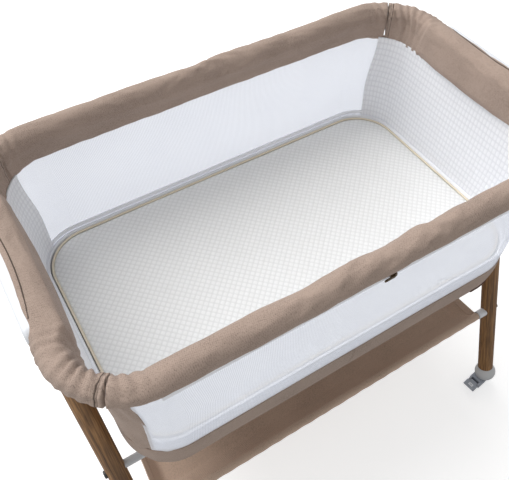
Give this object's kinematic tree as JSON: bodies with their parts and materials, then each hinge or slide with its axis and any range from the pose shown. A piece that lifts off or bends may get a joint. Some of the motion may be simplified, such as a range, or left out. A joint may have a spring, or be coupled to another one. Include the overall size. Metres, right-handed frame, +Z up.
{
  "type": "bassinet on stand",
  "caption": "Bassinet with padded fabric rail, mesh sides and quilted ends, on A-frame legs with a hammock shelf and braked casters.",
  "frame": {"origin": "on the floor, under the middle of the bassinet", "axes": "+X along the bassinet's length, +Y to the back, +Z up; the zip is on the front, at -Y"},
  "size_m": [0.963, 0.6802, 0.797],
  "materials": {
    "walnut_tube": "walnut-grain film on steel tube, satin",
    "white_plastic": "moulded white plastic, fine satin",
    "steel": "plain zinc-plated steel",
    "dark_steel": "black coated bolt head",
    "white_tube": "white powder coat",
    "taupe_fabric": "taupe melange weave",
    "quilted_fabric": "off-white quilted jersey",
    "mesh_fabric": "fine white air mesh",
    "mattress_cover": "cream quilted cover",
    "grey_plastic": "light grey moulded plastic",
    "wheel_nylon": "grey nylon",
    "board": "thin plywood",
    "zip_tape": "taupe woven zip tape",
    "zip_metal": "antique brass"
  },
  "bodies": {
    "frame": {"leg_front_left": "walnut_tube", "leg_back_left": "walnut_tube", "leg_front_right": "walnut_tube", "leg_back_right": "walnut_tube", "hub_outer_left": "white_plastic", "hub_outer_right": "white_plastic", "hub_inner_left": "white_plastic", "hub_inner_right": "white_plastic", "shelf_rod_caps": "white_plastic", "foot_collar_front_left": "white_plastic", "foot_collar_back_left": "white_plastic", "foot_collar_front_right": "white_plastic", "foot_collar_back_right": "white_plastic", "support_clips": "white_plastic", "hub_screws": "steel", "tube_inserts": "steel", "swivel_stems": "steel", "rail_tube_front": "steel", "rail_tube_back": "steel", "lower_ring": "steel", "shelf_rod_front": "steel", "shelf_rod_back": "steel", "frame_bolts": "dark_steel", "cross_tube_front": "white_tube", "cross_tube_back": "white_tube", "rail_cover_front": "taupe_fabric", "rail_cover_back": "taupe_fabric", "rail_cover_left": "taupe_fabric", "rail_cover_right": "taupe_fabric", "end_panel_left": "taupe_fabric", "end_panel_right": "taupe_fabric", "bottom_band": "taupe_fabric", "bottom_panel": "taupe_fabric", "storage_shelf": "taupe_fabric", "end_lining_left": "quilted_fabric", "end_lining_right": "quilted_fabric", "mesh_front": "mesh_fabric", "mesh_back": "mesh_fabric", "base_board": "board", "base_battens": "board", "zip_chain": "zip_tape"},
    "caster_front_left": {"caster_hood_front_left": "grey_plastic", "caster_pins_front_left": "steel"},
    "wheel_front_left": {"caster_wheel_front_left": "wheel_nylon"},
    "brake_front_left": {"brake_lever_front_left": "grey_plastic"},
    "caster_back_left": {"caster_hood_back_left": "grey_plastic", "caster_pins_back_left": "steel"},
    "wheel_back_left": {"caster_wheel_back_left": "wheel_nylon"},
    "brake_back_left": {"brake_lever_back_left": "grey_plastic"},
    "caster_front_right": {"caster_hood_front_right": "grey_plastic", "caster_pins_front_right": "steel"},
    "wheel_front_right": {"caster_wheel_front_right": "wheel_nylon"},
    "brake_front_right": {"brake_lever_front_right": "grey_plastic"},
    "caster_back_right": {"caster_hood_back_right": "grey_plastic", "caster_pins_back_right": "steel"},
    "wheel_back_right": {"caster_wheel_back_right": "wheel_nylon"},
    "brake_back_right": {"brake_lever_back_right": "grey_plastic"},
    "mattress": {"mattress": "mattress_cover"},
    "zip": {"zip_slider": "zip_metal", "zip_pull": "zip_metal"}
  },
  "joints": [
    {"name": "swivel_front_left", "type": "hinge", "parent": "frame", "child": "caster_front_left", "pos_m": [-0.45159, -0.31512, 0.033], "axis": [0, 0, 1], "continuous": true},
    {"name": "roll_front_left", "type": "hinge", "parent": "caster_front_left", "child": "wheel_front_left", "pos_m": [-0.43372, -0.31732, 0.0145], "axis": [-0.1219, -0.9925, 0], "continuous": true},
    {"name": "brake_front_left", "type": "hinge", "parent": "caster_front_left", "child": "brake_front_left", "pos_m": [-0.41486, -0.31963, 0.026], "axis": [0.1219, 0.9925, 0], "range_deg": [0, 18]},
    {"name": "swivel_back_left", "type": "hinge", "parent": "frame", "child": "caster_back_left", "pos_m": [-0.45159, 0.31512, 0.033], "axis": [0, 0, 1], "continuous": true},
    {"name": "roll_back_left", "type": "hinge", "parent": "caster_back_left", "child": "wheel_back_left", "pos_m": [-0.43372, 0.31732, 0.0145], "axis": [0.1219, -0.9925, 0], "continuous": true},
    {"name": "brake_back_left", "type": "hinge", "parent": "caster_back_left", "child": "brake_back_left", "pos_m": [-0.41486, 0.31963, 0.026], "axis": [-0.1219, 0.9925, 0], "range_deg": [0, 18]},
    {"name": "swivel_front_right", "type": "hinge", "parent": "frame", "child": "caster_front_right", "pos_m": [0.45159, -0.31512, 0.033], "axis": [0, 0, 1], "continuous": true},
    {"name": "roll_front_right", "type": "hinge", "parent": "caster_front_right", "child": "wheel_front_right", "pos_m": [0.43372, -0.31732, 0.0145], "axis": [-0.1219, 0.9925, 0], "continuous": true},
    {"name": "brake_front_right", "type": "hinge", "parent": "caster_front_right", "child": "brake_front_right", "pos_m": [0.41486, -0.31963, 0.026], "axis": [0.1219, -0.9925, 0], "range_deg": [0, 18]},
    {"name": "swivel_back_right", "type": "hinge", "parent": "frame", "child": "caster_back_right", "pos_m": [0.45159, 0.31512, 0.033], "axis": [0, 0, 1], "continuous": true},
    {"name": "roll_back_right", "type": "hinge", "parent": "caster_back_right", "child": "wheel_back_right", "pos_m": [0.43372, 0.31732, 0.0145], "axis": [0.1219, 0.9925, 0], "continuous": true},
    {"name": "brake_back_right", "type": "hinge", "parent": "caster_back_right", "child": "brake_back_right", "pos_m": [0.41486, 0.31963, 0.026], "axis": [-0.1219, -0.9925, 0], "range_deg": [0, 18]},
    {"name": "mattress_lift", "type": "slide", "parent": "frame", "child": "mattress", "axis": [0, 0, 1], "range_m": [0, 0.33]},
    {"name": "zip_run", "type": "slide", "parent": "frame", "child": "zip", "axis": [1, 0, 0], "range_m": [-0.38, 0.31]}
  ]
}
